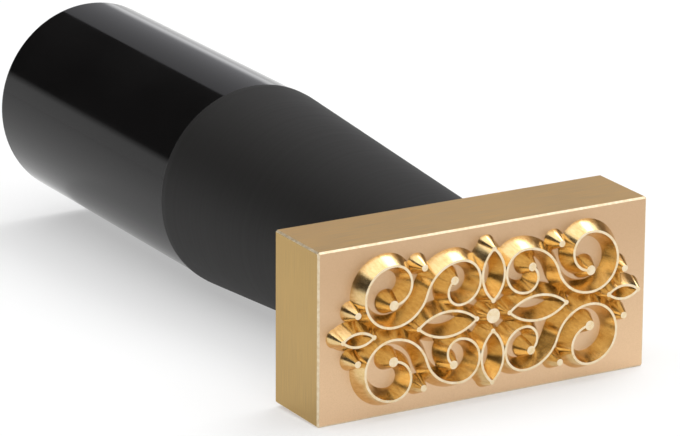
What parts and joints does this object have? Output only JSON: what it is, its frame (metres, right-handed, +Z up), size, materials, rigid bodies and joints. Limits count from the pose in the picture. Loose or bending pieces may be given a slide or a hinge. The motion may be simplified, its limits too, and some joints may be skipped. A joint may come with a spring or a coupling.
{
  "type": "hand stamp",
  "caption": "Hand stamp with a machined brass die, carrying raised scrollwork, screwed to a round black handle with a matte neck and a gloss grip.",
  "frame": {"origin": "middle of the stamping face, on the handle's axis, at the crests of the raised ornament", "axes": "the stamping face looks along -Y and the handle runs back along +Y; +X along the die's width; +Z up, lying as on a bench"},
  "size_m": [0.06, 0.14, 0.0358],
  "materials": {
    "die_brass": "milled and finely brushed",
    "insert_brass": "machined, knurled",
    "plated_steel": "zinc plated",
    "stud_steel": "bright steel, threaded",
    "matte_black": "fine matte turned",
    "gloss_black": "polished"
  },
  "bodies": {
    "handle": {"neck": "matte_black", "grip": "gloss_black", "grip_insert": "insert_brass", "draw_stud": "stud_steel", "clamp_nut": "plated_steel", "flat_washer": "plated_steel"},
    "washer": {"lock_washer": "plated_steel"},
    "die": {"die": "die_brass"}
  },
  "joints": [
    {"name": "die_travel", "type": "slide", "parent": "handle", "child": "washer", "axis": [0, -1, 0], "range_m": [0, 0.00875]},
    {"name": "die_turn", "type": "hinge", "parent": "washer", "child": "die", "pos_m": [0, 0, 0], "axis": [0, -1, 0], "range_deg": [0, 2520]}
  ],
  "couplings": [
    {"joint": "die_travel", "follows": "die_turn", "m_per_rad": 0.00019894}
  ]
}
